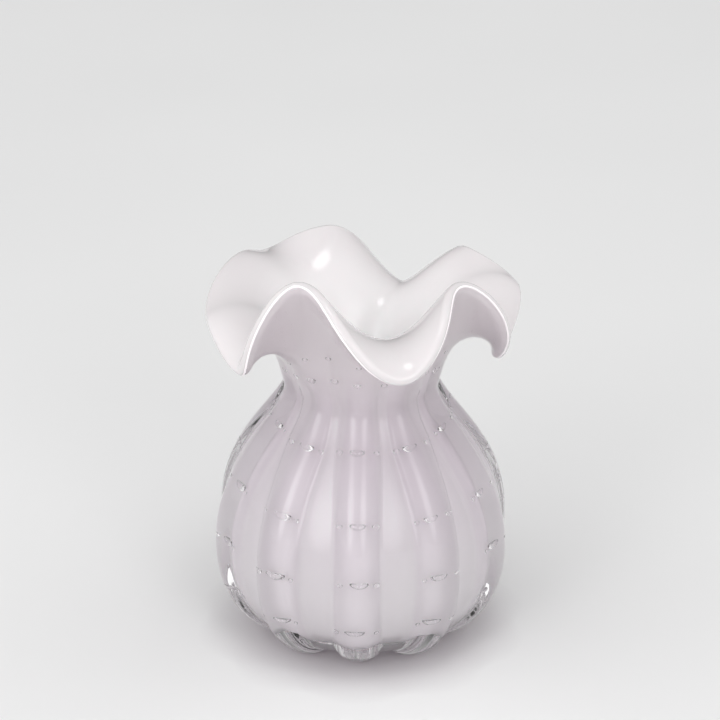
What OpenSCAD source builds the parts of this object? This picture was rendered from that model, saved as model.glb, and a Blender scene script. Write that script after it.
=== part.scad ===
// Hand-blown glass vase shaped like a tied bag: a ribbed round body, a tight neck and a ruffled lip.
// Three layers of glass lie face to face: a white lining, a lilac overlay and a thick clear casing.
// Millimetres, +Z up, the feet stand on z = 0, the front of the vase looks along -Y.

/* [Body] */
// Radius of the belly in the flutes between the ribs
belly_r = 66.6; // [63:0.1:70]
// Height of the belly's widest ring
belly_z = 51.3; // [46:0.1:56]
// Radius of the ring of feet
foot_r = 31.7; // [28:0.1:36]
// Height of the flutes over the table at the ring of feet
foot_z = 3.4; // [3.2:0.1:3.8]
// Height of the hollow in the middle of the underside
under_z = 8.5; // [6:0.1:10]
// How far the body swells sideways as it leaves the feet
lower_out = 0.4; // [0.36:0.01:0.5]
// How far down the belly keeps its full width
lower_up = 0.7; // [0.68:0.01:0.76]
// How far up the belly keeps its full width
shoulder_up = 0.54; // [0.4:0.01:0.6]
// How slowly the shoulder turns into the neck
neck_pull = 0.21; // [0.16:0.01:0.28]
// Radius of the neck's outer face
neck_r = 35; // [32:0.1:38]
// Height of the neck
neck_z = 130.3; // [124:0.1:136]

/* [Ribs] */
// Half width of a rib
rib_half = 10.5; // [8:0.1:12]
// Height of a rib at the feet
rib_foot_height = 4.8; // [4.6:0.1:5.4]
// Height of a rib on the belly
rib_height = 4.2; // [3.4:0.1:5]
// Height of a rib on the neck
rib_neck_height = 2; // [1:0.1:2.6]
// Height of the ribs under the clear glass, on the belly
inner_rib_height = 3.8; // [2.6:0.1:4.4]
// Height of the ribs under the clear glass, on the neck
inner_rib_neck_height = 1.8; // [0.8:0.1:2.4]
// Direction of the first rib
rib_phase = -92; // [-110:1:-74]

/* [Glass] */
// Clear glass under the lining
clear_base = 14.5; // [11:0.1:15]
// Clear glass on the belly, in the flutes
clear_belly = 12; // [10:0.1:14]
// Clear glass on the neck
clear_neck = 11; // [8:0.1:12]
// Clear glass at the rim
clear_rim = 1.5; // [1:0.1:1.8]
// Lilac glass on the body
lilac_body = 1.2; // [0.8:0.1:1.6]
// Lilac glass at the rim
lilac_rim = 0.9; // [0.6:0.1:1.2]
// White glass on the body
white_body = 2.2; // [1.6:0.1:2.8]
// White glass at the rim
white_rim = 3.4; // [2.8:0.1:3.8]

/* [Bubbles] */
// Diameter of an air bubble on the body
bubble_d = 4; // [2:0.1:4.6]
// Depth of the body's bubbles under the flutes
bubble_depth = 5; // [4:0.1:5.6]
// Diameter of an air bubble on the neck
neck_bubble_d = 3; // [2:0.1:4]
// Depth of the neck's bubbles under the flutes
neck_bubble_depth = 4; // [3:0.1:5]

/* [Lip] */
// Slope at which the lip leaves the neck
lip_start = 72; // [68:1:76]
// How much of the lip's bend is kept for its outer end
lip_curl = 2.3; // [2:0.05:2.5]

/* [Front dip] */
// Direction of the front dip
front_dip_angle = -76.5; // [-80.5:0.5:-72.5]
// Length of the lip at the front dip
front_dip_length = 59.5; // [55.5:0.5:63.5]
// Bend of the lip at the front dip
front_dip_bend = 120; // [108:1:132]

/* [Right front crest] */
// Direction of the right front crest
right_crest_angle = -41; // [-45:0.5:-37]
// Length of the lip at the right front crest
right_crest_length = 62; // [58:0.5:66]
// Bend of the lip at the right front crest
right_crest_bend = 15; // [4:1:27]

/* [Right dip] */
// Direction of the right dip
right_dip_angle = -2; // [-6:0.5:2]
// Length of the lip at the right dip
right_dip_length = 41; // [37:0.5:45]
// Bend of the lip at the right dip
right_dip_bend = 169; // [157:1:181]

/* [Right side] */
// Direction of the right side behind the dip
right_side_angle = 18.5; // [14.5:0.5:22.5]
// Length of the lip at the right side behind the dip
right_side_length = 57.5; // [53.5:0.5:61.5]
// Bend of the lip at the right side behind the dip
right_side_bend = 110; // [98:1:122]

/* [Right back crest] */
// Direction of the right back crest
right_back_angle = 37.5; // [33.5:0.5:41.5]
// Length of the lip at the right back crest
right_back_length = 52; // [48:0.5:56]
// Bend of the lip at the right back crest
right_back_bend = 52; // [40:1:64]

/* [Right back dip] */
// Direction of the right back dip
back_dip_angle = 69; // [65:0.5:73]
// Length of the lip at the right back dip
back_dip_length = 34; // [30:0.5:38]
// Bend of the lip at the right back dip
back_dip_bend = 150; // [138:1:162]

/* [Back crest] */
// Direction of the back crest
back_crest_angle = 106; // [102:0.5:110]
// Length of the lip at the back crest
back_crest_length = 53; // [49:0.5:57]
// Bend of the lip at the back crest
back_crest_bend = 40; // [28:1:52]

/* [Left back dip] */
// Direction of the left back dip
left_back_dip_angle = 130; // [126:0.5:134]
// Length of the lip at the left back dip
left_back_dip_length = 52.5; // [48.5:0.5:56.5]
// Bend of the lip at the left back dip
left_back_dip_bend = 85; // [73:1:97]

/* [Left crest] */
// Direction of the left crest
left_crest_angle = 151; // [147:0.5:155]
// Length of the lip at the left crest
left_crest_length = 54; // [50:0.5:58]
// Bend of the lip at the left crest
left_crest_bend = 63; // [51:1:75]

/* [Left side] */
// Direction of the left side
left_side_angle = 189; // [185:0.5:193]
// Length of the lip at the left side
left_side_length = 51; // [47:0.5:55]
// Bend of the lip at the left side
left_side_bend = 100; // [88:1:112]

/* [Left dip] */
// Direction of the left dip
left_dip_angle = 216.5; // [212.5:0.5:220.5]
// Length of the lip at the left dip
left_dip_length = 45.5; // [41.5:0.5:49.5]
// Bend of the lip at the left dip
left_dip_bend = 137; // [125:1:149]

/* [Left front crest] */
// Direction of the left front crest
left_front_angle = 242.5; // [238.5:0.5:246.5]
// Length of the lip at the left front crest
left_front_length = 69; // [65:0.5:73]
// Bend of the lip at the left front crest
left_front_bend = 12; // [4:1:24]

/* [Hidden] */
rib_count = 10;
rib_pitch = 360 / rib_count;
rib_columns = 5;
columns = rib_count * rib_columns;
// Widest half angle of a rib; with it the columns stand evenly round the axis
rib_half_angle = rib_pitch * 0.4;
// Where along the profile the ribs begin, get lower, lie half way to the neck's height, and end
rib_begin = 0.25;
rib_fade = 2.2;
rib_shoulder = 2.75;
rib_end = 3.5;
// Where the ribs under the clear glass begin and reach their height
inner_rib_begin = 1.15;
inner_rib_full = 1.7;
// Where the layers under the clear glass begin to change to their thickness at the rim
lip_thinning = 2.8;
// Pull of the underside's curve at its middle and at the ring of feet
under_pull = 0.4;
foot_pull = 0.7;
// Stations along the profile: 0 to 1 underside, 1 to 2 lower body, 2 to 3 upper body, 3 to 4 lip
outer_rows = [
    0.3, 0.6, 0.8, 0.92, 1, 1.08, 1.18, 1.3, 1.42, 1.55, 1.7, 1.85, 2,
    2.12, 2.25, 2.38, 2.5, 2.62, 2.74, 2.87, 3,
    3.12, 3.25, 3.38, 3.5, 3.6, 3.7, 3.8, 3.9, 4
];
inner_rows = [
    0.5, 0.85, 1.1, 1.3, 1.5, 1.75, 2,
    2.25, 2.5, 2.7, 2.87, 3,
    3.15, 3.3, 3.45, 3.58, 3.7, 3.8, 3.9, 4
];
// Stations of the rings of bubbles, one bubble behind each rib
bubble_rows = [1.7, 2, 2.27, 2.63];
neck_bubble_row = 3.2;
bubble_facets = 16;
// Steps used to add up the lip's run from the neck to a point on it
lip_steps = 12;
lip_ones = [for (k = [1 : lip_steps]) 1];
// Small steps used to find the surface's slope
slope_u = 0.01;
slope_a = 0.5;
// Turns along the rounded rim at which the layers get extra rows
clear_rim_turns = [0.5];
white_rim_turns = [0.25, 0.5, 0.75];

knots = [
    [front_dip_angle, front_dip_length, front_dip_bend],
    [right_crest_angle, right_crest_length, right_crest_bend],
    [right_dip_angle, right_dip_length, right_dip_bend],
    [right_side_angle, right_side_length, right_side_bend],
    [right_back_angle, right_back_length, right_back_bend],
    [back_dip_angle, back_dip_length, back_dip_bend],
    [back_crest_angle, back_crest_length, back_crest_bend],
    [left_back_dip_angle, left_back_dip_length, left_back_dip_bend],
    [left_crest_angle, left_crest_length, left_crest_bend],
    [left_side_angle, left_side_length, left_side_bend],
    [left_dip_angle, left_dip_length, left_dip_bend],
    [left_front_angle, left_front_length, left_front_bend],
    [front_dip_angle + 360, front_dip_length, front_dip_bend]
];

// Thickness of each layer along the profile, and the ribs' height
clear_thickness = [[0, clear_base], [1, clear_base], [2, clear_belly], [3, clear_neck], [4, clear_rim]];
lilac_thickness = [[0, lilac_body], [lip_thinning, lilac_body], [4, lilac_rim]];
white_thickness = [[0, white_body], [lip_thinning, white_body], [4, white_rim]];
rib_heights = [
    [rib_begin, 0], [1, rib_foot_height], [2, rib_height], [rib_fade, rib_height],
    [rib_shoulder, (rib_height + rib_neck_height) / 2], [3, rib_neck_height], [rib_end, 0]
];
inner_rib_heights = [
    [inner_rib_begin, 0], [inner_rib_full, inner_rib_height], [rib_fade, inner_rib_height],
    [rib_shoulder, (inner_rib_height + inner_rib_neck_height) / 2], [3, inner_rib_neck_height], [rib_end, 0]
];
rim_depth = clear_rim + lilac_rim + white_rim;

function bezier(a, b, c, d, t) =
    pow(1 - t, 3) * a + 3 * pow(1 - t, 2) * t * b + 3 * (1 - t) * t * t * c + pow(t, 3) * d;
function ease(t) = (1 - cos(180 * t)) / 2;
function unit(v) = v / norm(v);

// Brings a direction into the turn that starts at the first knot
function wrap(a) = a - 360 * floor((a - front_dip_angle) / 360);
function knot_before(a, k = 0) = a < knots[k + 1][0] || k == len(knots) - 2 ? k : knot_before(a, k + 1);
function between(a, k) =
    let (low = knots[k], high = knots[k + 1])
    low + (high - low) * ease((a - low[0]) / (high[0] - low[0]));

// Lip length and bend in one direction, eased from knot to knot
function lip_at(a) = between(wrap(a), knot_before(wrap(a)));

// Point of the lip: its slope turns away from the start, slowly at first and then faster
function lip_point(t, lip) =
    let (slopes = [for (k = [1 : lip_steps]) lip_start - lip[2] * pow(t * (k - 0.5) / lip_steps, lip_curl)])
    let (step = lip[1] * t / lip_steps)
    [
        neck_r + step * ([for (s = slopes) cos(s)] * lip_ones),
        neck_z + step * ([for (s = slopes) sin(s)] * lip_ones)
    ];

// Radius and height of the casing's face in the flutes
function underside(t) = [
    bezier(0, foot_r * under_pull, foot_r * foot_pull, foot_r, t),
    bezier(under_z, under_z, foot_z, foot_z, t)
];
function lower_body(t) = [
    bezier(foot_r, foot_r + (belly_r - foot_r) * lower_out, belly_r, belly_r, t),
    bezier(foot_z, foot_z, belly_z - (belly_z - foot_z) * lower_up, belly_z, t)
];
function upper_body(t) =
    let (rise = neck_z - belly_z)
    let (pull = rise * neck_pull)
    [
        bezier(belly_r, belly_r, neck_r - pull * cos(lip_start), neck_r, t),
        bezier(belly_z, belly_z + rise * shoulder_up, neck_z - pull * sin(lip_start), neck_z, t)
    ];
function profile(u, a) =
    u <= 1 ? underside(u) :
    u <= 2 ? lower_body(u - 1) :
    u <= 3 ? upper_body(u - 2) :
    lip_point(u - 3, lip_at(a));

function spin(p, a) = [p[0] * cos(a), p[0] * sin(a), p[1]];
function face_point(u, a) = spin(profile(u, a), a);
function along(u, a) = unit(face_point(min(u + slope_u, 4), a) - face_point(max(u - slope_u, 0), a));
function around(u, a) = unit(face_point(u, a + slope_a) - face_point(u, a - slope_a));
function outward(u, a) = unit(cross(around(u, a), along(u, a)));

// Directions of the columns: they follow the ribs' edges, but stand evenly on the cavity and the rim
function half_angle(u) =
    u > 3 ? rib_half_angle : min(rib_half_angle, rib_half / profile(u, 0)[0] * 180 / PI);
function column_share(j) = (j % rib_columns - 2) / 2;
function column_angle(j, half) = rib_phase + floor(j / rib_columns) * rib_pitch + column_share(j) * half;

// Rim: the layers end on one half circle across the lip's thickness
function rim_reach(depth) = sqrt(max(0, rim_depth * depth - depth * depth));
function rim_point(depth, a) =
    face_point(4, a) - outward(4, a) * depth + along(4, a) * rim_reach(depth);
function rim_turn(depth) = acos(1 - 2 * depth / rim_depth);
function rim_depth_at(turn) = rim_depth * (1 - cos(turn)) / 2;

// Casing's outer face with the ribs on it, ground flat where it stands
function rib_bump(u, j, heights) = lookup(u, heights) * (1 - pow(column_share(j), 2));
function ground(p) = [p[0], p[1], max(p[2], 0)];
function outer_point(u, j) =
    let (a = column_angle(j, half_angle(u)))
    u >= 4 ? rim_point(0, a) : ground(face_point(u, a) + outward(u, a) * rib_bump(u, j, rib_heights));
function outer_ring(u) = [for (j = [0 : columns - 1]) outer_point(u, j)];

// Faces between the layers, at a depth under the casing's flutes and with ribs of their own
function ribbed_point(u, j, depth) =
    let (a = column_angle(j, half_angle(u)))
    let (sunk = depth - rib_bump(u, j, inner_rib_heights))
    u >= 4 ? rim_point(depth, a) : face_point(u, a) - outward(u, a) * sunk;
function ribbed_ring(u, depth) = [for (j = [0 : columns - 1]) ribbed_point(u, j, depth)];

// Face of the cavity, smooth and with even columns
function even_angle(j) = column_angle(j, rib_half_angle);
function cavity_point(u, j) =
    let (a = even_angle(j))
    let (depth = cavity_depth(u))
    u >= 4 ? rim_point(depth, a) : face_point(u, a) - outward(u, a) * depth;
function cavity_ring(u) = [for (j = [0 : columns - 1]) cavity_point(u, j)];
function rim_ring(depth) = [for (j = [0 : columns - 1]) rim_point(depth, even_angle(j))];
function rim_rings(from, to, turns) =
    let (first = rim_turn(from))
    let (last = rim_turn(to))
    [for (t = turns) rim_ring(rim_depth_at(first + (last - first) * t))];

// Depth of each layer's outer face, and of the cavity, under the casing's flutes
function overlay_depth(u) = lookup(u, clear_thickness);
function lining_depth(u) = overlay_depth(u) + lookup(u, lilac_thickness);
function cavity_depth(u) = lining_depth(u) + lookup(u, white_thickness);
function backward(list) = [for (k = [len(list) - 1 : -1 : 0]) list[k]];

casing_rings = [for (u = outer_rows) outer_ring(u)];
overlay_rings = [for (u = inner_rows) ribbed_ring(u, overlay_depth(u))];
lining_rings = [for (u = inner_rows) ribbed_ring(u, lining_depth(u))];
cavity_rings = [for (u = inner_rows) cavity_ring(u)];
casing_pole = [0, 0, under_z];
overlay_pole = [0, 0, under_z + overlay_depth(0)];
lining_pole = [0, 0, under_z + lining_depth(0)];
cavity_pole = [0, 0, under_z + cavity_depth(0)];

// Middle of the vase's box, seen from above: the vase is moved so that it lies over the origin
edge_points = [for (ring = concat(casing_rings, [rim_ring(rim_depth / 2)]), p = ring) p];
edge_x = [for (p = edge_points) p[0]];
edge_y = [for (p = edge_points) p[1]];
box_middle = [(min(edge_x) + max(edge_x)) / 2, (min(edge_y) + max(edge_y)) / 2, 0];

// Closed shell: up the outer face from its pole to the rim, and down the inner face to its own pole
function ring_index(i, j) = 1 + i * columns + j % columns;
function fan(pole, i, up) = [
    for (j = [0 : columns - 1])
        up ? [pole, ring_index(i, j), ring_index(i, j + 1)] : [pole, ring_index(i, j + 1), ring_index(i, j)]
];
function band(i, j, lean) =
    let (a = ring_index(i, j))
    let (b = ring_index(i, j + 1))
    let (c = ring_index(i + 1, j + 1))
    let (d = ring_index(i + 1, j))
    lean ? [[a, c, b], [a, d, c]] : [[a, d, b], [b, d, c]];

module shell(outer, outer_pole, rim, inner, inner_pole) {
    rings = concat(outer, rim, backward(inner));
    points = concat([outer_pole], [for (ring = rings, p = ring) p], [inner_pole]);
    turn = len(outer) - 1;
    bands = [for (i = [0 : len(rings) - 2], j = [0 : columns - 1], f = band(i, j, i < turn)) f];
    last = len(points) - 1;
    polyhedron(points, concat(fan(0, 0, true), bands, fan(last, len(rings) - 1, false)));
}

// Ring of air bubbles, one trapped behind each rib
module bubble_ring(u, d, depth) {
    for (k = [0 : rib_count - 1]) {
        a = rib_phase + k * rib_pitch;
        translate(face_point(u, a) - outward(u, a) * depth) sphere(d = d, $fn = bubble_facets);
    }
}

module bubbles() {
    for (u = bubble_rows) bubble_ring(u, bubble_d, bubble_depth);
    bubble_ring(neck_bubble_row, neck_bubble_d, neck_bubble_depth);
}

module placed() {
    translate(-box_middle) children();
}

module white_lining() {
    rim = rim_rings(lining_depth(4), cavity_depth(4), white_rim_turns);
    color([0.95, 0.93, 0.94])
    placed()
    shell(lining_rings, lining_pole, rim, cavity_rings, cavity_pole);
}

module lilac_overlay() {
    color([0.79, 0.74, 0.8])
    placed()
    shell(overlay_rings, overlay_pole, [], lining_rings, lining_pole);
}

module clear_casing() {
    rim = rim_rings(0, overlay_depth(4), clear_rim_turns);
    color([0.9, 0.92, 0.93])
    placed()
    difference() {
        shell(casing_rings, casing_pole, rim, overlay_rings, overlay_pole);
        bubbles();
    }
}

white_lining();
lilac_overlay();
clear_casing();
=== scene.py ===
"""A hand-blown cased glass vase shaped like a tied bag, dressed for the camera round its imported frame."""
import math

import bpy
import numpy as np
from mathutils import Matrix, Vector


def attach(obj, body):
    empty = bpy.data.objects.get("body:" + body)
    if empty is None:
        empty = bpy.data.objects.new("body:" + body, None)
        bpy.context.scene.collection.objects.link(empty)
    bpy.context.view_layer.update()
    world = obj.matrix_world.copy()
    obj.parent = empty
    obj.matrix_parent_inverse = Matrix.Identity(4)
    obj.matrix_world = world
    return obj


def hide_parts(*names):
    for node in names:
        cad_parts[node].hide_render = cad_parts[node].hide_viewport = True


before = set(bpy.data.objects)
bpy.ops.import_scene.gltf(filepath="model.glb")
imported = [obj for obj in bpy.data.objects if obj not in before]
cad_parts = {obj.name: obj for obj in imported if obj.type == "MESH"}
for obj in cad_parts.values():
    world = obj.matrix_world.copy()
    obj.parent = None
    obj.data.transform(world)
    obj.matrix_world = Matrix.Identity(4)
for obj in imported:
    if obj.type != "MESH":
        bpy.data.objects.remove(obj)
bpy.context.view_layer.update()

# The vase's own sizes are in millimetres; the scene is in metres
MM = 0.001
# Place of the vase's axis: the middle of its box stands over the origin
AXIS = (-0.946, 3.478, 0.0)

# Body: radii and heights of the casing's face in the flutes
BELLY_R, BELLY_Z = 66.6, 51.3
FOOT_R, FOOT_Z = 31.7, 3.4
UNDER_Z = 8.5
NECK_R, NECK_Z = 35.0, 130.3
# Pull of the profile's curves, as shares: under the foot, on the lower body, and from shoulder to neck
UNDER_NEAR, UNDER_FAR = 0.4, 0.7
LOWER_OUT, LOWER_UP = 0.4, 0.7
SHOULDER_UP, NECK_PULL = 0.54, 0.21

# Ribs: half width on the body, and the share of the pitch on each side of a rib at neck, lip and foot
RIB_COUNT = 10
RIB_PITCH = 360 / RIB_COUNT
RIB_HALF = 10.5
RIB_HALF_SHARE = 0.4
RIB_HALF_ANGLE = RIB_PITCH * RIB_HALF_SHARE
RIB_PHASE = -92.0
RIB_SOFTNESS = 0.03
# Stations along the profile, and the ribs' heights there on the casing and under the clear glass
RIB_STATIONS = [0.25, 1, 1.15, 1.45, 2, 2.2, 2.75, 3, 3.5]
RIB_HEIGHTS = [0, 4.8, 4.71, 4.53, 4.2, 4.2, 3.1, 2.0, 0]
INNER_RIB_HEIGHTS = [0, 0, 0, 3.4, 3.8, 3.8, 2.8, 1.8, 0]

# Thickness of the layers along the profile
STATIONS = [0, 1, 1.2, 1.5, 2, 3, 4]
CLEAR = [14.5, 14.5, 14.0, 10.8, 12.0, 11.0, 1.5]
LILAC = [1.2, 1.2, 1.2, 1.2, 1.2, 1.15, 0.9]
WHITE = [2.2, 2.2, 2.2, 4.6, 2.2, 2.4, 3.4]
RIM_DEPTH = CLEAR[-1] + LILAC[-1] + WHITE[-1]
# How far a layer's hidden wall sinks into the next one, so that no two faces coincide
SINK = 0.15

# Lip: direction, length and bend at each dip and crest, from the front dip round to the left front crest
LIP_START, LIP_CURL = 72.0, 2.3
LIP_KNOTS = np.array([
    (-76.5, 59.5, 120), (-41, 62, 15), (-2, 41, 169), (18.5, 57.5, 110), (37.5, 52, 52), (69, 34, 150),
    (106, 53, 40), (130, 52.5, 85), (151, 54, 63), (189, 51, 100), (216.5, 45.5, 137), (242.5, 69, 12),
], float)
LIP_STEPS = 12

# Bubbles on the body: height of each ring, half width round the vase and half height
BODY_BUBBLES = [(26, 3.4, 1.2), (52, 3.6, 1.4), (81, 3.3, 1.5), (110, 2.8, 1.4)]
BODY_BUBBLE_LIFT = -5.0
BODY_SHIFT_UP, BODY_SHIFT_ROUND, BODY_SPREAD = 1.2, 1.0, 0.15
# Two small bubbles beside each of them: lift, place across the rib, size and how much longer than high
SIDE_LIFT, SIDE_PLACE, SIDE_SIZE, SIDE_STRETCH = -4.0, 0.76, 1.0, 1.5
SIDE_SHIFT, SIDE_SPREAD = 0.06, 0.25
# Bubbles at the neck: station of each ring, half width and half height
NECK_BUBBLES = [(3.16, 1.7, 1.2), (3.36, 1.3, 0.9)]
NECK_BUBBLES_PER_RIB = 2
NECK_BUBBLE_DEPTH = 0.5
NECK_SHIFT_UP, NECK_SHIFT_ROUND, NECK_SPREAD = 0.02, 2.0, 0.2
# Rise of a bubble's ends over its middle, as a share of its half width
BUBBLE_SMILE = 0.3

# Mesh density
RIB_COLUMNS, FLUTE_COLUMNS = 16, 8
OUTER_ROWS = np.concatenate([
    np.linspace(0.06, 1, 22), np.linspace(1, 2, 44)[1:], np.linspace(2, 3, 52)[1:], np.linspace(3, 4, 56)[1:],
])
INNER_ROWS = np.concatenate([
    np.linspace(0.1, 1, 10), np.linspace(1, 2, 24)[1:], np.linspace(2, 3, 28)[1:], np.linspace(3, 4, 48)[1:],
])
WHITE_RIM_ROWS, LILAC_RIM_ROWS, CLEAR_RIM_ROWS = 12, 4, 6
BUBBLE_SIDES, BUBBLE_RINGS = 20, 10

# White glass: colour in the throat and on the lip, and the distances from the axis between which it changes;
# the throat's lighter white is a painted glow for light that passes through the white walls
GLASS_IOR = 1.5
THROAT_WHITE_PAINTED_GLOW, LIP_WHITE = (0.9, 0.88, 0.885), (0.72, 0.688, 0.698)
THROAT_END, LIP_BEGIN = 0.032, 0.056
# Noise is in features per metre; reaches and depths are in metres
WHITE_CLOUDS, WHITE_CLOUD_REACH = 22.0, 0.012
WHITE_GRAIN, WHITE_ROUGHNESS = 60.0, (0.07, 0.12)
WHITE_RIPPLES, WHITE_RIPPLE_DEPTH = 34.0, 0.0004
WHITE_SCATTER, WHITE_SCATTER_RADIUS, WHITE_SCATTER_SCALE = 0.35, (1.0, 0.85, 0.9), 0.003

# Lilac glass by height in metres: pale on the body; deeper on the shoulder, partly thicker colour and partly
# painted shade; lighter under the lip, a painted glow for light through the thin lip
LILAC_AND_PAINTED_LIGHT_BY_HEIGHT = [
    (0.015, (0.945, 0.905, 0.933)), (0.06, (0.945, 0.902, 0.931)), (0.095, (0.92, 0.86, 0.905)),
    (0.118, (0.89, 0.818, 0.872)), (0.14, (0.915, 0.85, 0.895)), (0.165, (0.998, 0.938, 0.966)),
]
LILAC_TOP = 0.2
LILAC_STREAKS, LILAC_STREAK_DETAIL, LILAC_SWAY = 30.0, 3.0, 0.03
LILAC_GRAIN, LILAC_ROUGHNESS, LILAC_SPECULAR = 80.0, (0.3, 0.42), 0.1
# Deeper tint under the ribs, partly thicker colour and partly painted shade; the part of the wave round the
# vase in which it sets in, and where it fades out
RIB_TINT_AND_PAINTED_SHADE = (0.955, 0.94, 0.955)
RIB_TINT_EDGES = (-0.2, 0.3)
RIB_TINT_FADES = (0.125, 0.155)

# Clear glass
CLEAR_CLOUDS, CLEAR_TINTS = 18.0, ((0.985, 0.975, 0.985), (1, 1, 1))
CLEAR_RIPPLES, CLEAR_RIPPLE_DEPTH = 40.0, 0.0002

# Stage: a pale floor whose colour is darkened by a painted shadow where the vase stands close over it
FLOOR_SIZE, FLOOR_DROP = 12.0, 0.0001
FLOOR_GRAIN, FLOOR_GREYS = 3.0, ((0.82, 0.82, 0.82), (0.84, 0.84, 0.84))
FLOOR_PAINTED_SHADOW, FLOOR_PAINTED_SHADOW_REACH = (0.52, 0.485, 0.51), 0.025
FLOOR_ROUGHNESS, FLOOR_SPECULAR = 0.7, 0.2
# Front softboxes: distance, elevation and height; then azimuth, width and power of each
SOFTBOX_DISTANCE, SOFTBOX_ELEVATION, SOFTBOX_HEIGHT = 2.0, 26, 2.2
FRONT_SOFTBOXES = [("left_softbox", -32, 1.3, 10), ("right_softbox", 24, 1.2, 8)]
TOP_PLACE, TOP_SIZE, TOP_POWER = (0.15, -0.6, 2.1), (0.9, 0.9), 5
SOFTBOX_TARGET = (0, 0, 0.08)
# Brightness in the middle of a softbox that fades to its edges, against an even one of the same power
SOFTBOX_MIDDLE = 2.8
SOFTBOX_FADES = (0.1, 0.5)
# Light tent: direction and strength of each soft lobe
TENT = [((1, 0, 0), 1.0), ((-0.94, -0.34, 0), 1.2), ((0, 0, 1), 0.5)]
# Camera at the photograph's angle
CAMERA_TARGET = (-0.0017, 0.0035, 0.137)
CAMERA_DISTANCE, CAMERA_ELEVATION = 1.5, 25.0
CAMERA_LENS, SENSOR = 162.0, 36.0


def bezier(a, b, c, d, t):
    return (1 - t) ** 3 * a + 3 * (1 - t) ** 2 * t * b + 3 * (1 - t) * t ** 2 * c + t ** 3 * d


def unit(v):
    return v / np.linalg.norm(v, axis=-1, keepdims=True)


def lip_at(angle):
    """Length and bend of the lip in a direction, eased from knot to knot."""
    knots = np.vstack([LIP_KNOTS, LIP_KNOTS[:1] + (360, 0, 0)])
    turn = (angle - knots[0, 0]) % 360 + knots[0, 0]
    low = np.clip(np.searchsorted(knots[:, 0], turn, side="right") - 1, 0, len(knots) - 2)
    share = (turn - knots[low, 0]) / (knots[low + 1, 0] - knots[low, 0])
    ease = (1 - np.cos(np.pi * share)) / 2
    blend = knots[low] + (knots[low + 1] - knots[low]) * ease[..., None]
    return blend[..., 1], blend[..., 2]


def profile(u, angle):
    """Radius and height: u is 0 to 1 under the foot, up to 2 at the belly, 3 at the neck and 4 at the rim."""
    u, angle = np.broadcast_arrays(u, angle)
    part = np.clip(np.ceil(u) - 1, 0, 3).astype(int)
    t = u - part
    rise = NECK_Z - BELLY_Z
    pull = rise * NECK_PULL
    start = math.radians(LIP_START)
    length, bend = lip_at(angle)
    steps = (np.arange(LIP_STEPS) + 0.5) / LIP_STEPS
    slope = start - np.radians(bend)[..., None] * (np.abs(t)[..., None] * steps) ** LIP_CURL
    radius = np.choose(part, [
        bezier(0, FOOT_R * UNDER_NEAR, FOOT_R * UNDER_FAR, FOOT_R, t),
        bezier(FOOT_R, FOOT_R + (BELLY_R - FOOT_R) * LOWER_OUT, BELLY_R, BELLY_R, t),
        bezier(BELLY_R, BELLY_R, NECK_R - pull * math.cos(start), NECK_R, t),
        NECK_R + length * t * np.cos(slope).mean(-1),
    ])
    height = np.choose(part, [
        bezier(UNDER_Z, UNDER_Z, FOOT_Z, FOOT_Z, t),
        bezier(FOOT_Z, FOOT_Z, BELLY_Z - (BELLY_Z - FOOT_Z) * LOWER_UP, BELLY_Z, t),
        bezier(BELLY_Z, BELLY_Z + rise * SHOULDER_UP, NECK_Z - pull * math.sin(start), NECK_Z, t),
        NECK_Z + length * t * np.sin(slope).mean(-1),
    ])
    return radius, height


def face_point(u, angle):
    radius, height = profile(u, angle)
    turn = np.radians(angle)
    return np.stack([radius * np.cos(turn), radius * np.sin(turn), height], -1)


def along(u, angle, step=0.01):
    """Direction up the profile."""
    return unit(face_point(np.minimum(u + step, 4), angle) - face_point(np.maximum(u - step, 0.001), angle))


def outward(u, angle, step=0.5):
    """Direction out of the profile's face."""
    around = face_point(u, angle + step) - face_point(u, angle - step)
    return unit(np.cross(around, along(u, angle)))


def half_angle(u):
    """Half angle of a rib: even width on the body, an even share of the turn at neck, lip and foot."""
    radius, _ = profile(np.minimum(u, 3.0), 0.0)
    return np.where(u > 3, RIB_HALF_ANGLE, np.minimum(RIB_HALF_ANGLE, np.degrees(RIB_HALF / radius)))


def column_angles(u, even=False):
    """Directions of the mesh's columns at each u; they follow the edges of the ribs unless even is asked."""
    half = np.full(np.shape(u), RIB_HALF_ANGLE) if even else half_angle(u)
    rib = np.linspace(-1, 1, RIB_COLUMNS + 1)[:-1]
    flute = np.linspace(0, 1, FLUTE_COLUMNS + 1)[:-1]
    shares = [half[:, None] * rib, half[:, None] + (RIB_PITCH - 2 * half[:, None]) * flute]
    one = np.concatenate(shares, axis=1)
    return np.concatenate([RIB_PHASE + k * RIB_PITCH + one for k in range(RIB_COUNT)], axis=1)


def rib_bump(u, angle, heights):
    """Height of the ribs: round beads that meet the flutes in a crease and fade at both ends."""
    off = (angle - RIB_PHASE + RIB_PITCH / 2) % RIB_PITCH - RIB_PITCH / 2
    bead = 1 - (off / half_angle(u)) ** 2
    return np.interp(u, RIB_STATIONS, heights) * (bead + np.sqrt(bead ** 2 + RIB_SOFTNESS ** 2)) / 2


def depth_of(u, *layers):
    """Thickness of some layers together."""
    return sum((np.interp(u, STATIONS, layer) for layer in layers), np.zeros(np.shape(u)))


def outer_face():
    """Rings of the casing's outer face, ground flat where it stands."""
    angle = column_angles(OUTER_ROWS)
    u = np.broadcast_to(OUTER_ROWS[:, None], angle.shape)
    points = face_point(u, angle) + outward(u, angle) * rib_bump(u, angle, RIB_HEIGHTS)[..., None]
    points[..., 2] = np.maximum(points[..., 2], 0)
    return points


def rim_point(depth, angle, back=0.0):
    """Point on the half circle that ends the lip, at a depth across its thickness."""
    reach = np.sqrt(np.maximum(RIM_DEPTH * depth - depth ** 2, 0)) - back
    end = np.full(np.shape(angle), 4.0)
    return face_point(end, angle) - outward(end, angle) * depth + along(end, angle) * reach


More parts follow.
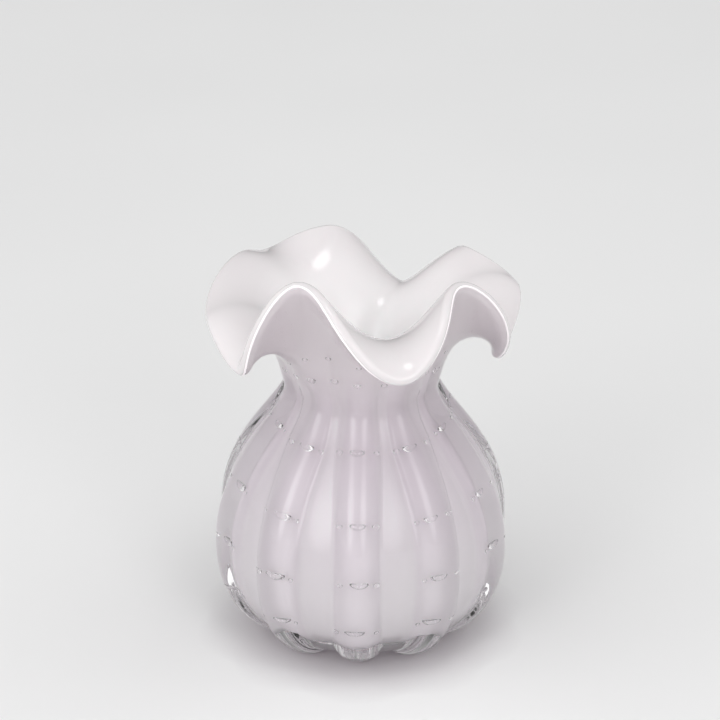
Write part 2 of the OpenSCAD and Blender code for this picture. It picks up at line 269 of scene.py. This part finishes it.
def inner_face(layers, sink=0.0, ribbed=True):
    """Rings of a face between the layers, from the foot to the rim; only the cavity's face has no ribs."""
    angle = column_angles(INNER_ROWS, even=not ribbed)
    u = np.broadcast_to(INNER_ROWS[:, None], angle.shape)
    depth = depth_of(u, *layers) + sink
    if ribbed:
        depth = depth - rib_bump(u, angle, INNER_RIB_HEIGHTS)
    points = face_point(u, angle) - outward(u, angle) * depth[..., None]
    points[-1] = rim_point(depth_of(4.0, *layers) + sink, angle[-1], back=sink)
    return points


def rim_arc(low, high, rows):
    """Rings over the rounded rim between two depths, both left out."""
    turns = np.linspace(*(math.acos(1 - 2 * d / RIM_DEPTH) for d in (low, high)), rows + 2)[1:-1]
    angle = column_angles(np.array([4.0]), even=True)[0]
    return np.array([rim_point(RIM_DEPTH * (1 - math.cos(t)) / 2, angle) for t in turns])


def shell(outer, rim, inner):
    """Vertices and faces of a closed shell: up the outer face, over the rim and down the inner face."""
    rings = np.concatenate([outer, rim, inner[::-1]])
    count, columns = rings.shape[:2]
    poles = [[0, 0, outer[0, :, 2].mean()], [0, 0, inner[0, :, 2].mean()]]
    points = np.concatenate([rings.reshape(-1, 3), poles])
    row, column = np.meshgrid(np.arange(count - 1), np.arange(columns), indexing="ij")
    following = (column + 1) % columns
    quads = np.stack([
        row * columns + column, row * columns + following,
        (row + 1) * columns + following, (row + 1) * columns + column,
    ], -1).reshape(-1, 4)
    first, last = count * columns, count * columns + 1
    ring = np.arange(columns)
    ahead = (ring + 1) % columns
    base = (count - 1) * columns
    fans = [(first, int(b), int(a)) for a, b in zip(ring, ahead)]
    fans += [(last, int(base + a), int(base + b)) for a, b in zip(ring, ahead)]
    return points, [tuple(q) for q in quads.tolist()] + fans


def wobble(k, row, salt):
    """Repeatable small irregularity from -1 to 1."""
    return 2 * (math.sin(12.9898 * k + 78.233 * row + 37.719 * salt) * 43758.5453 % 1) - 1


def station_at(height):
    """The u on the body at which the casing's flutes reach a height."""
    u = np.linspace(1, 3, 400)
    _, z = profile(u, np.zeros_like(u))
    return float(np.interp(height, z, u))


def bubble(u, angle, lift, half_width, half_height):
    """An air bubble as a cavity: an ellipsoid whose faces look inwards, at a height over the flutes."""
    u, angle = np.array([u]), np.array([angle])
    out, up = outward(u, angle)[0], along(u, angle)[0]
    side = np.cross(up, out)
    centre = face_point(u, angle)[0] + out * lift
    lat = np.linspace(-90, 90, BUBBLE_RINGS + 1)[1:-1]
    lon = np.linspace(0, 360, BUBBLE_SIDES, endpoint=False)
    lat, lon = (np.radians(v) for v in np.meshgrid(lat, lon, indexing="ij"))
    local = np.stack([np.cos(lat) * np.cos(lon), np.cos(lat) * np.sin(lon), np.sin(lat)], -1)
    scale = np.stack([side * half_width, out * half_height, up * half_height])
    rings = centre + local @ scale + up * (BUBBLE_SMILE * half_width * local[..., :1] ** 2)
    poles = centre + np.array([-1, 1])[:, None] * up * half_height
    top = (BUBBLE_RINGS - 2) * BUBBLE_SIDES
    first, last = rings.shape[0] * BUBBLE_SIDES, rings.shape[0] * BUBBLE_SIDES + 1
    faces = []
    for low in range(0, top, BUBBLE_SIDES):
        high = low + BUBBLE_SIDES
        for a in range(BUBBLE_SIDES):
            b = (a + 1) % BUBBLE_SIDES
            faces.append((low + b, low + a, high + a, high + b))
    for a in range(BUBBLE_SIDES):
        b = (a + 1) % BUBBLE_SIDES
        faces.append((first, a, b))
        faces.append((last, top + b, top + a))
    return np.concatenate([rings.reshape(-1, 3), poles]), faces


def body_bubbles():
    """Places of the rings of bubbles on the body: one in each rib, with a small one on both sides."""
    places = []
    for row, (height, half_width, half_height) in enumerate(BODY_BUBBLES):
        for k in range(RIB_COUNT):
            u = station_at(height + BODY_SHIFT_UP * wobble(k, row, 1))
            angle = RIB_PHASE + k * RIB_PITCH + BODY_SHIFT_ROUND * wobble(k, row, 2)
            size = 1 + BODY_SPREAD * wobble(k, row, 3)
            places.append((u, angle, BODY_BUBBLE_LIFT, half_width * size, half_height * size))
            for side in (-1, 1):
                aside = float(half_angle(np.array(u))) * (SIDE_PLACE + SIDE_SHIFT * wobble(k, row, 7 + side))
                small = SIDE_SIZE * (1 + SIDE_SPREAD * wobble(k, row, 9 + side))
                places.append((u, angle + side * aside, SIDE_LIFT, small * SIDE_STRETCH, small))
    return places


def neck_bubbles():
    """Places of the rings of small bubbles under the lip, in the middle of the clear glass."""
    places = []
    for row, (station, half_width, half_height) in enumerate(NECK_BUBBLES):
        for k in range(NECK_BUBBLES_PER_RIB * RIB_COUNT):
            u = station + NECK_SHIFT_UP * wobble(k, row, 4)
            angle = RIB_PHASE + k * RIB_PITCH / NECK_BUBBLES_PER_RIB + NECK_SHIFT_ROUND * wobble(k, row, 5)
            size = 1 + NECK_SPREAD * wobble(k, row, 6)
            lift = -NECK_BUBBLE_DEPTH * float(depth_of(u, CLEAR))
            places.append((u, angle, lift, half_width * size, half_height * size))
    return places


def add_bubbles(points, faces):
    """Adds all bubbles to the casing's own mesh."""
    for place in body_bubbles() + neck_bubbles():
        more, more_faces = bubble(*place)
        offset = len(points)
        points = np.concatenate([points, more])
        faces += [tuple(i + offset for i in f) for f in more_faces]
    return points, faces


def add_piece(name, points, faces, material, node, slot):
    """Makes one layer's mesh, which takes its solid's place in the frame."""
    mesh = bpy.data.meshes.new(name)
    mesh.from_pydata(((points + AXIS) * MM).tolist(), [], faces)
    mesh.shade_smooth()
    mesh.materials.append(material)
    piece = bpy.data.objects.new(name, mesh)
    bpy.context.scene.collection.objects.link(piece)
    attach(piece, "root")
    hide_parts(node)
    return piece


def new_material(name):
    material = bpy.data.materials.new(name)
    material.use_nodes = True
    nodes, links = material.node_tree.nodes, material.node_tree.links
    return material, nodes, links, nodes["Principled BSDF"]


def add_math(nodes, links, operation, *sources):
    """A Math node; a source is another node's output, or a number that is set on the socket."""
    node = nodes.new("ShaderNodeMath")
    node.operation = operation
    for socket, source in zip(node.inputs, sources):
        if isinstance(source, bpy.types.NodeSocket):
            links.new(source, socket)
        else:
            socket.default_value = source
    return node.outputs["Value"]


def add_noise(nodes, links, scale, detail=2.0):
    """Noise in the object's own coordinates, in features per metre."""
    where = nodes.new("ShaderNodeTexCoord")
    noise = nodes.new("ShaderNodeTexNoise")
    noise.inputs["Scale"].default_value = scale
    noise.inputs["Detail"].default_value = detail
    links.new(where.outputs["Object"], noise.inputs["Vector"])
    return noise.outputs["Fac"]


def add_ramp(nodes, links, source, low, high, start=0.35, end=0.65):
    ramp = nodes.new("ShaderNodeValToRGB")
    ramp.color_ramp.elements[0].position = start
    ramp.color_ramp.elements[0].color = (*low, 1)
    ramp.color_ramp.elements[1].position = end
    ramp.color_ramp.elements[1].color = (*high, 1)
    links.new(source, ramp.inputs["Fac"])
    return ramp.outputs["Color"]


def add_range(nodes, links, source, to, limits=(0.0, 1.0), smooth=False):
    """Spreads the part of a source between two limits over another range."""
    spread = nodes.new("ShaderNodeMapRange")
    if smooth:
        spread.interpolation_type = "SMOOTHSTEP"
    spread.inputs["From Min"].default_value = limits[0]
    spread.inputs["From Max"].default_value = limits[1]
    spread.inputs["To Min"].default_value = to[0]
    spread.inputs["To Max"].default_value = to[1]
    links.new(source, spread.inputs["Value"])
    return spread.outputs["Result"]


def add_bump(nodes, links, shader, source, distance):
    bump = nodes.new("ShaderNodeBump")
    bump.inputs["Distance"].default_value = distance
    links.new(source, bump.inputs["Height"])
    links.new(bump.outputs["Normal"], shader.inputs["Normal"])


def white_glass():
    """Opaque white glass, lighter in the throat than on the lip: a painted glow for light that passes through
    the white walls.
    """
    material, nodes, links, shader = new_material("white_glass")
    where = nodes.new("ShaderNodeTexCoord").outputs["Object"]
    from_axis = nodes.new("ShaderNodeVectorMath")
    from_axis.operation = "MULTIPLY_ADD"
    from_axis.inputs[1].default_value = (1, 1, 0)
    from_axis.inputs[2].default_value = tuple(-MM * a for a in AXIS)
    links.new(where, from_axis.inputs[0])
    radius = nodes.new("ShaderNodeVectorMath")
    radius.operation = "LENGTH"
    links.new(from_axis.outputs["Vector"], radius.inputs[0])
    clouds = add_noise(nodes, links, WHITE_CLOUDS)
    place = add_math(nodes, links, "MULTIPLY_ADD", clouds, WHITE_CLOUD_REACH, radius.outputs["Value"])
    # Painted light: the lighter throat white stands in for light coming through the thin white walls
    colour = add_ramp(nodes, links, place, THROAT_WHITE_PAINTED_GLOW, LIP_WHITE, THROAT_END, LIP_BEGIN)
    links.new(colour, shader.inputs["Base Color"])
    grain = add_noise(nodes, links, WHITE_GRAIN)
    links.new(add_range(nodes, links, grain, WHITE_ROUGHNESS), shader.inputs["Roughness"])
    shader.inputs["IOR"].default_value = GLASS_IOR
    shader.inputs["Subsurface Weight"].default_value = WHITE_SCATTER
    shader.inputs["Subsurface Radius"].default_value = WHITE_SCATTER_RADIUS
    shader.inputs["Subsurface Scale"].default_value = WHITE_SCATTER_SCALE
    add_bump(nodes, links, shader, add_noise(nodes, links, WHITE_RIPPLES, 1.0), WHITE_RIPPLE_DEPTH)
    return material


def add_rib_share(nodes, links, split):
    """1 under a rib and 0 under a flute, from the direction round the vase's axis; it fades below the lip."""
    across = add_math(nodes, links, "SUBTRACT", split.outputs["X"], AXIS[0] * MM)
    back = add_math(nodes, links, "SUBTRACT", split.outputs["Y"], AXIS[1] * MM)
    turn = add_math(nodes, links, "ARCTAN2", back, across)
    first_rib = -math.radians(RIB_COUNT * RIB_PHASE)
    phase = add_math(nodes, links, "MULTIPLY_ADD", turn, RIB_COUNT, first_rib)
    wave = add_math(nodes, links, "COSINE", phase)
    below_lip = add_range(nodes, links, split.outputs["Z"], (1.0, 0.0), RIB_TINT_FADES)
    share = add_range(nodes, links, wave, (0.0, 1.0), RIB_TINT_EDGES, smooth=True)
    links.new(below_lip, share.node.inputs["To Max"])
    return share


def lilac_glass():
    """Milky lilac glass, tinted by height, with painted shade on the shoulder and a painted glow under the
    lip, and deeper under the ribs, partly thicker colour and partly painted shade.
    """
    material, nodes, links, shader = new_material("lilac_glass")
    where = nodes.new("ShaderNodeTexCoord").outputs["Object"]
    split = nodes.new("ShaderNodeSeparateXYZ")
    links.new(where, split.inputs["Vector"])
    streaks = add_noise(nodes, links, LILAC_STREAKS, LILAC_STREAK_DETAIL)
    height = add_math(nodes, links, "MULTIPLY_ADD", streaks, LILAC_SWAY, split.outputs["Z"])
    # Painted light by height: deeper on the shoulder, partly painted shade, and a painted glow under the lip
    tint = nodes.new("ShaderNodeValToRGB")
    elements = tint.color_ramp.elements
    for level, _ in LILAC_AND_PAINTED_LIGHT_BY_HEIGHT[1:-1]:
        elements.new(level / LILAC_TOP)
    for element, (level, colour) in zip(elements, LILAC_AND_PAINTED_LIGHT_BY_HEIGHT):
        element.position = level / LILAC_TOP
        element.color = (*colour, 1)
    links.new(add_math(nodes, links, "DIVIDE", height, LILAC_TOP), tint.inputs["Fac"])
    # Partly painted shade: the lilac is darkened under the ribs, partly for thicker colour there
    rib_tint_and_shade = nodes.new("ShaderNodeMix")
    rib_tint_and_shade.data_type = "RGBA"
    rib_tint_and_shade.blend_type = "MULTIPLY"
    rib_tint_and_shade.inputs["B"].default_value = (*RIB_TINT_AND_PAINTED_SHADE, 1)
    links.new(add_rib_share(nodes, links, split), rib_tint_and_shade.inputs["Factor"])
    links.new(tint.outputs["Color"], rib_tint_and_shade.inputs["A"])
    links.new(rib_tint_and_shade.outputs["Result"], shader.inputs["Base Color"])
    grain = add_noise(nodes, links, LILAC_GRAIN)
    links.new(add_range(nodes, links, grain, LILAC_ROUGHNESS), shader.inputs["Roughness"])
    shader.inputs["Specular IOR Level"].default_value = LILAC_SPECULAR
    return material


def clear_glass():
    """Clear glass, faintly clouded and rippled."""
    material, nodes, links, shader = new_material("clear_glass")
    clouds = add_noise(nodes, links, CLEAR_CLOUDS)
    links.new(add_ramp(nodes, links, clouds, *CLEAR_TINTS), shader.inputs["Base Color"])
    shader.inputs["Roughness"].default_value = 0.0
    shader.inputs["IOR"].default_value = GLASS_IOR
    shader.inputs["Transmission Weight"].default_value = 1.0
    add_bump(nodes, links, shader, add_noise(nodes, links, CLEAR_RIPPLES, 1.0), CLEAR_RIPPLE_DEPTH)
    return material


def build_vase():
    """The three fused layers, from the inside out."""
    white = shell(
        inner_face([CLEAR, LILAC]), rim_arc(RIM_DEPTH - WHITE[-1], RIM_DEPTH, WHITE_RIM_ROWS),
        inner_face([CLEAR, LILAC, WHITE], ribbed=False),
    )
    add_piece("vase_white_lining", *white, white_glass(), "white_lining", "white_glass")
    lilac = shell(
        inner_face([CLEAR]), rim_arc(CLEAR[-1], CLEAR[-1] + LILAC[-1], LILAC_RIM_ROWS),
        inner_face([CLEAR, LILAC], SINK),
    )
    add_piece("vase_lilac_overlay", *lilac, lilac_glass(), "lilac_overlay", "lilac_glass")
    clear = shell(outer_face(), rim_arc(0, CLEAR[-1], CLEAR_RIM_ROWS), inner_face([CLEAR], SINK))
    add_piece("vase_clear_casing", *add_bubbles(*clear), clear_glass(), "clear_casing", "clear_glass")


def add_floor():
    half = FLOOR_SIZE / 2
    mesh = bpy.data.meshes.new("floor")
    corners = [(-half, -half), (half, -half), (half, half), (-half, half)]
    mesh.from_pydata([(x, y, -FLOOR_DROP) for x, y in corners], [], [(0, 1, 2, 3)])
    material, nodes, links, shader = new_material("floor")
    grain = add_ramp(nodes, links, add_noise(nodes, links, FLOOR_GRAIN), *FLOOR_GREYS)
    # Painted shadow: an ambient occlusion node darkens the floor's colour close under the vase
    painted_shadow_near = nodes.new("ShaderNodeAmbientOcclusion")
    painted_shadow_near.inputs["Distance"].default_value = FLOOR_PAINTED_SHADOW_REACH
    shade = nodes.new("ShaderNodeMix")
    shade.data_type = "RGBA"
    shade.inputs["A"].default_value = (*FLOOR_PAINTED_SHADOW, 1)
    links.new(painted_shadow_near.outputs["AO"], shade.inputs["Factor"])
    links.new(grain, shade.inputs["B"])
    links.new(shade.outputs["Result"], shader.inputs["Base Color"])
    shader.inputs["Roughness"].default_value = FLOOR_ROUGHNESS
    shader.inputs["Specular IOR Level"].default_value = FLOOR_SPECULAR
    mesh.materials.append(material)
    floor = bpy.data.objects.new("floor", mesh)
    bpy.context.scene.collection.objects.link(floor)


def polar(distance, azimuth, elevation):
    """Point round the vase: azimuth 0 is in front of it, 90 to its right."""
    a, e = math.radians(azimuth - 90), math.radians(elevation)
    return (
        distance * math.cos(e) * math.cos(a),
        distance * math.cos(e) * math.sin(a),
        distance * math.sin(e),
    )


def aim(thing, target):
    way = Vector(target) - thing.location
    thing.rotation_euler = way.to_track_quat("-Z", "Y").to_euler()


def add_softbox(name, place, size, power):
    """An area lamp that is brightest in the middle and fades towards its edges."""
    lamp = bpy.data.lights.new(name, "AREA")
    lamp.shape = "RECTANGLE"
    lamp.size, lamp.size_y = size
    lamp.energy = power
    lamp.use_nodes = True
    nodes, links = lamp.node_tree.nodes, lamp.node_tree.links
    off_middle = nodes.new("ShaderNodeVectorMath")
    off_middle.operation = "DISTANCE"
    off_middle.inputs[1].default_value = (0.5, 0.5, 0)
    links.new(nodes.new("ShaderNodeNewGeometry").outputs["Parametric"], off_middle.inputs[0])
    distance = off_middle.outputs["Value"]
    fade = add_range(nodes, links, distance, (SOFTBOX_MIDDLE, 0.0), SOFTBOX_FADES, smooth=True)
    links.new(fade, nodes["Emission"].inputs["Strength"])
    box = bpy.data.objects.new(name, lamp)
    box.location = place
    bpy.context.scene.collection.objects.link(box)
    aim(box, SOFTBOX_TARGET)


def add_world():
    """A light tent: a soft lobe of light from each of some directions."""
    world = bpy.data.worlds.new("studio")
    world.use_nodes = True
    nodes, links = world.node_tree.nodes, world.node_tree.links
    where = nodes.new("ShaderNodeTexCoord").outputs["Generated"]
    total = 0.0
    for axis, gain in TENT:
        dot = nodes.new("ShaderNodeVectorMath")
        dot.operation = "DOT_PRODUCT"
        dot.inputs[1].default_value = axis
        links.new(where, dot.inputs[0])
        level = add_math(nodes, links, "MAXIMUM", dot.outputs["Value"], 0.0)
        total = add_math(nodes, links, "MULTIPLY_ADD", level, gain, total)
    links.new(total, nodes["Background"].inputs["Strength"])
    nodes["Background"].inputs["Color"].default_value = (1, 1, 1, 1)
    bpy.context.scene.world = world


def add_camera():
    data = bpy.data.cameras.new("camera")
    data.lens = CAMERA_LENS
    data.sensor_width = SENSOR
    camera = bpy.data.objects.new("camera", data)
    offset = polar(CAMERA_DISTANCE, 0, CAMERA_ELEVATION)
    camera.location = tuple(t + o for t, o in zip(CAMERA_TARGET, offset))
    bpy.context.scene.collection.objects.link(camera)
    aim(camera, CAMERA_TARGET)
    bpy.context.scene.camera = camera


build_vase()
add_floor()
for name, azimuth, width, power in FRONT_SOFTBOXES:
    add_softbox(name, polar(SOFTBOX_DISTANCE, azimuth, SOFTBOX_ELEVATION), (width, SOFTBOX_HEIGHT), power)
add_softbox("top_softbox", TOP_PLACE, TOP_SIZE, TOP_POWER)
add_world()
add_camera()
bpy.context.scene.view_settings.view_transform = "Standard"
